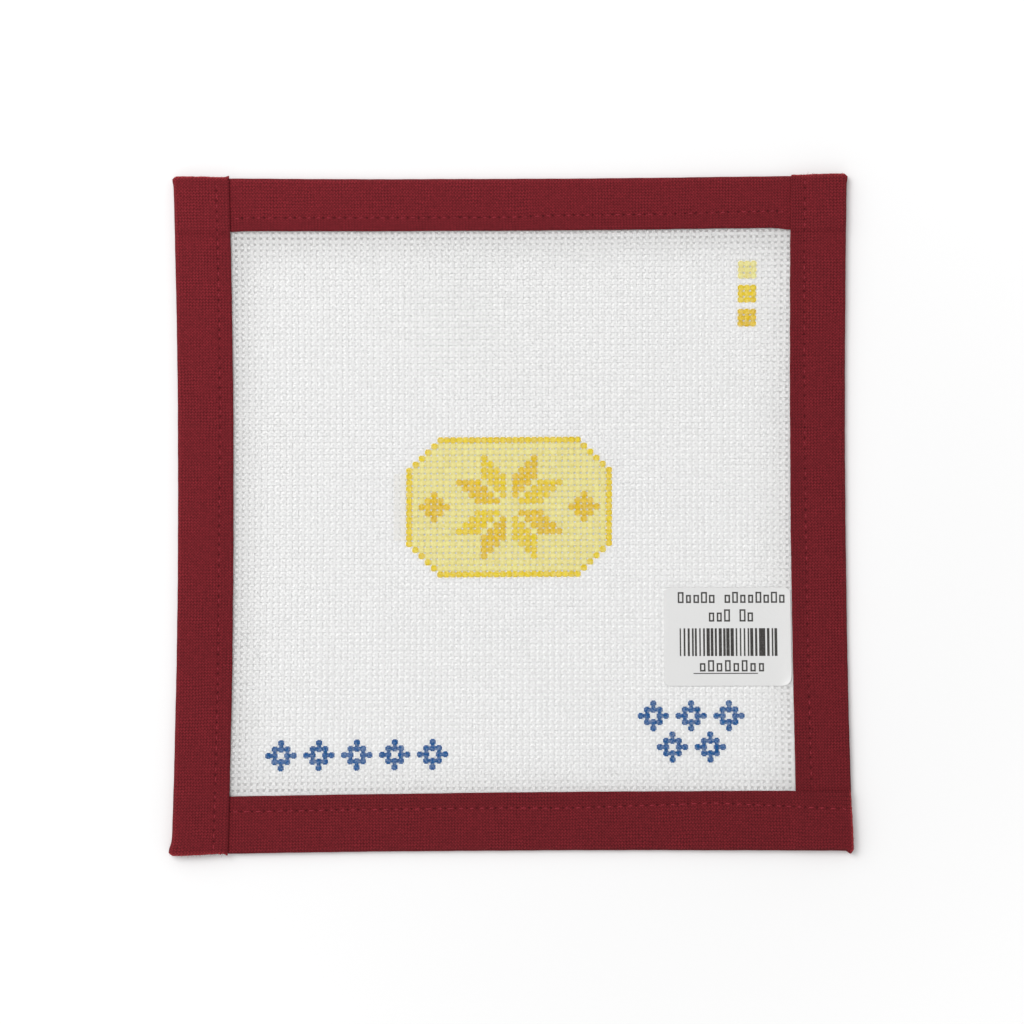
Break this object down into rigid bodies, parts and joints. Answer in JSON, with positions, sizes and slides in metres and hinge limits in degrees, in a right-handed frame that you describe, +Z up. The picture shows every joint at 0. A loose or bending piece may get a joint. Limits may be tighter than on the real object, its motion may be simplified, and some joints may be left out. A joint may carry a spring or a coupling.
{
  "type": "needlepoint canvas",
  "caption": "Flat square of open woven needlepoint canvas with cloth tape folded and sewn over all edges and a paper price label stuck on the front.",
  "frame": {"origin": "middle of the underside, on the surface that the piece lies on", "axes": "+Z up out of the front, +X to the right and +Y to the top of the piece as seen from the front"},
  "size_m": [0.2161, 0.2155, 0.0043],
  "materials": {
    "canvas": "stiff white cotton mono canvas, open plain weave, painted in places",
    "tape": "matt dark red woven cotton tape",
    "thread": "dark red sewing thread with a slight sheen",
    "label": "white paper sticker with grey print"
  },
  "bodies": {
    "root": {"canvas": "canvas", "price_label": "label", "binding_top": "tape", "binding_right": "tape", "binding_bottom": "tape", "binding_left": "tape", "seam_top_front": "thread", "seam_top_back": "thread", "seam_right_front": "thread", "seam_right_back": "thread", "seam_bottom_front": "thread", "seam_bottom_back": "thread", "seam_left_front": "thread", "seam_left_back": "thread"}
  },
  "joints": []
}
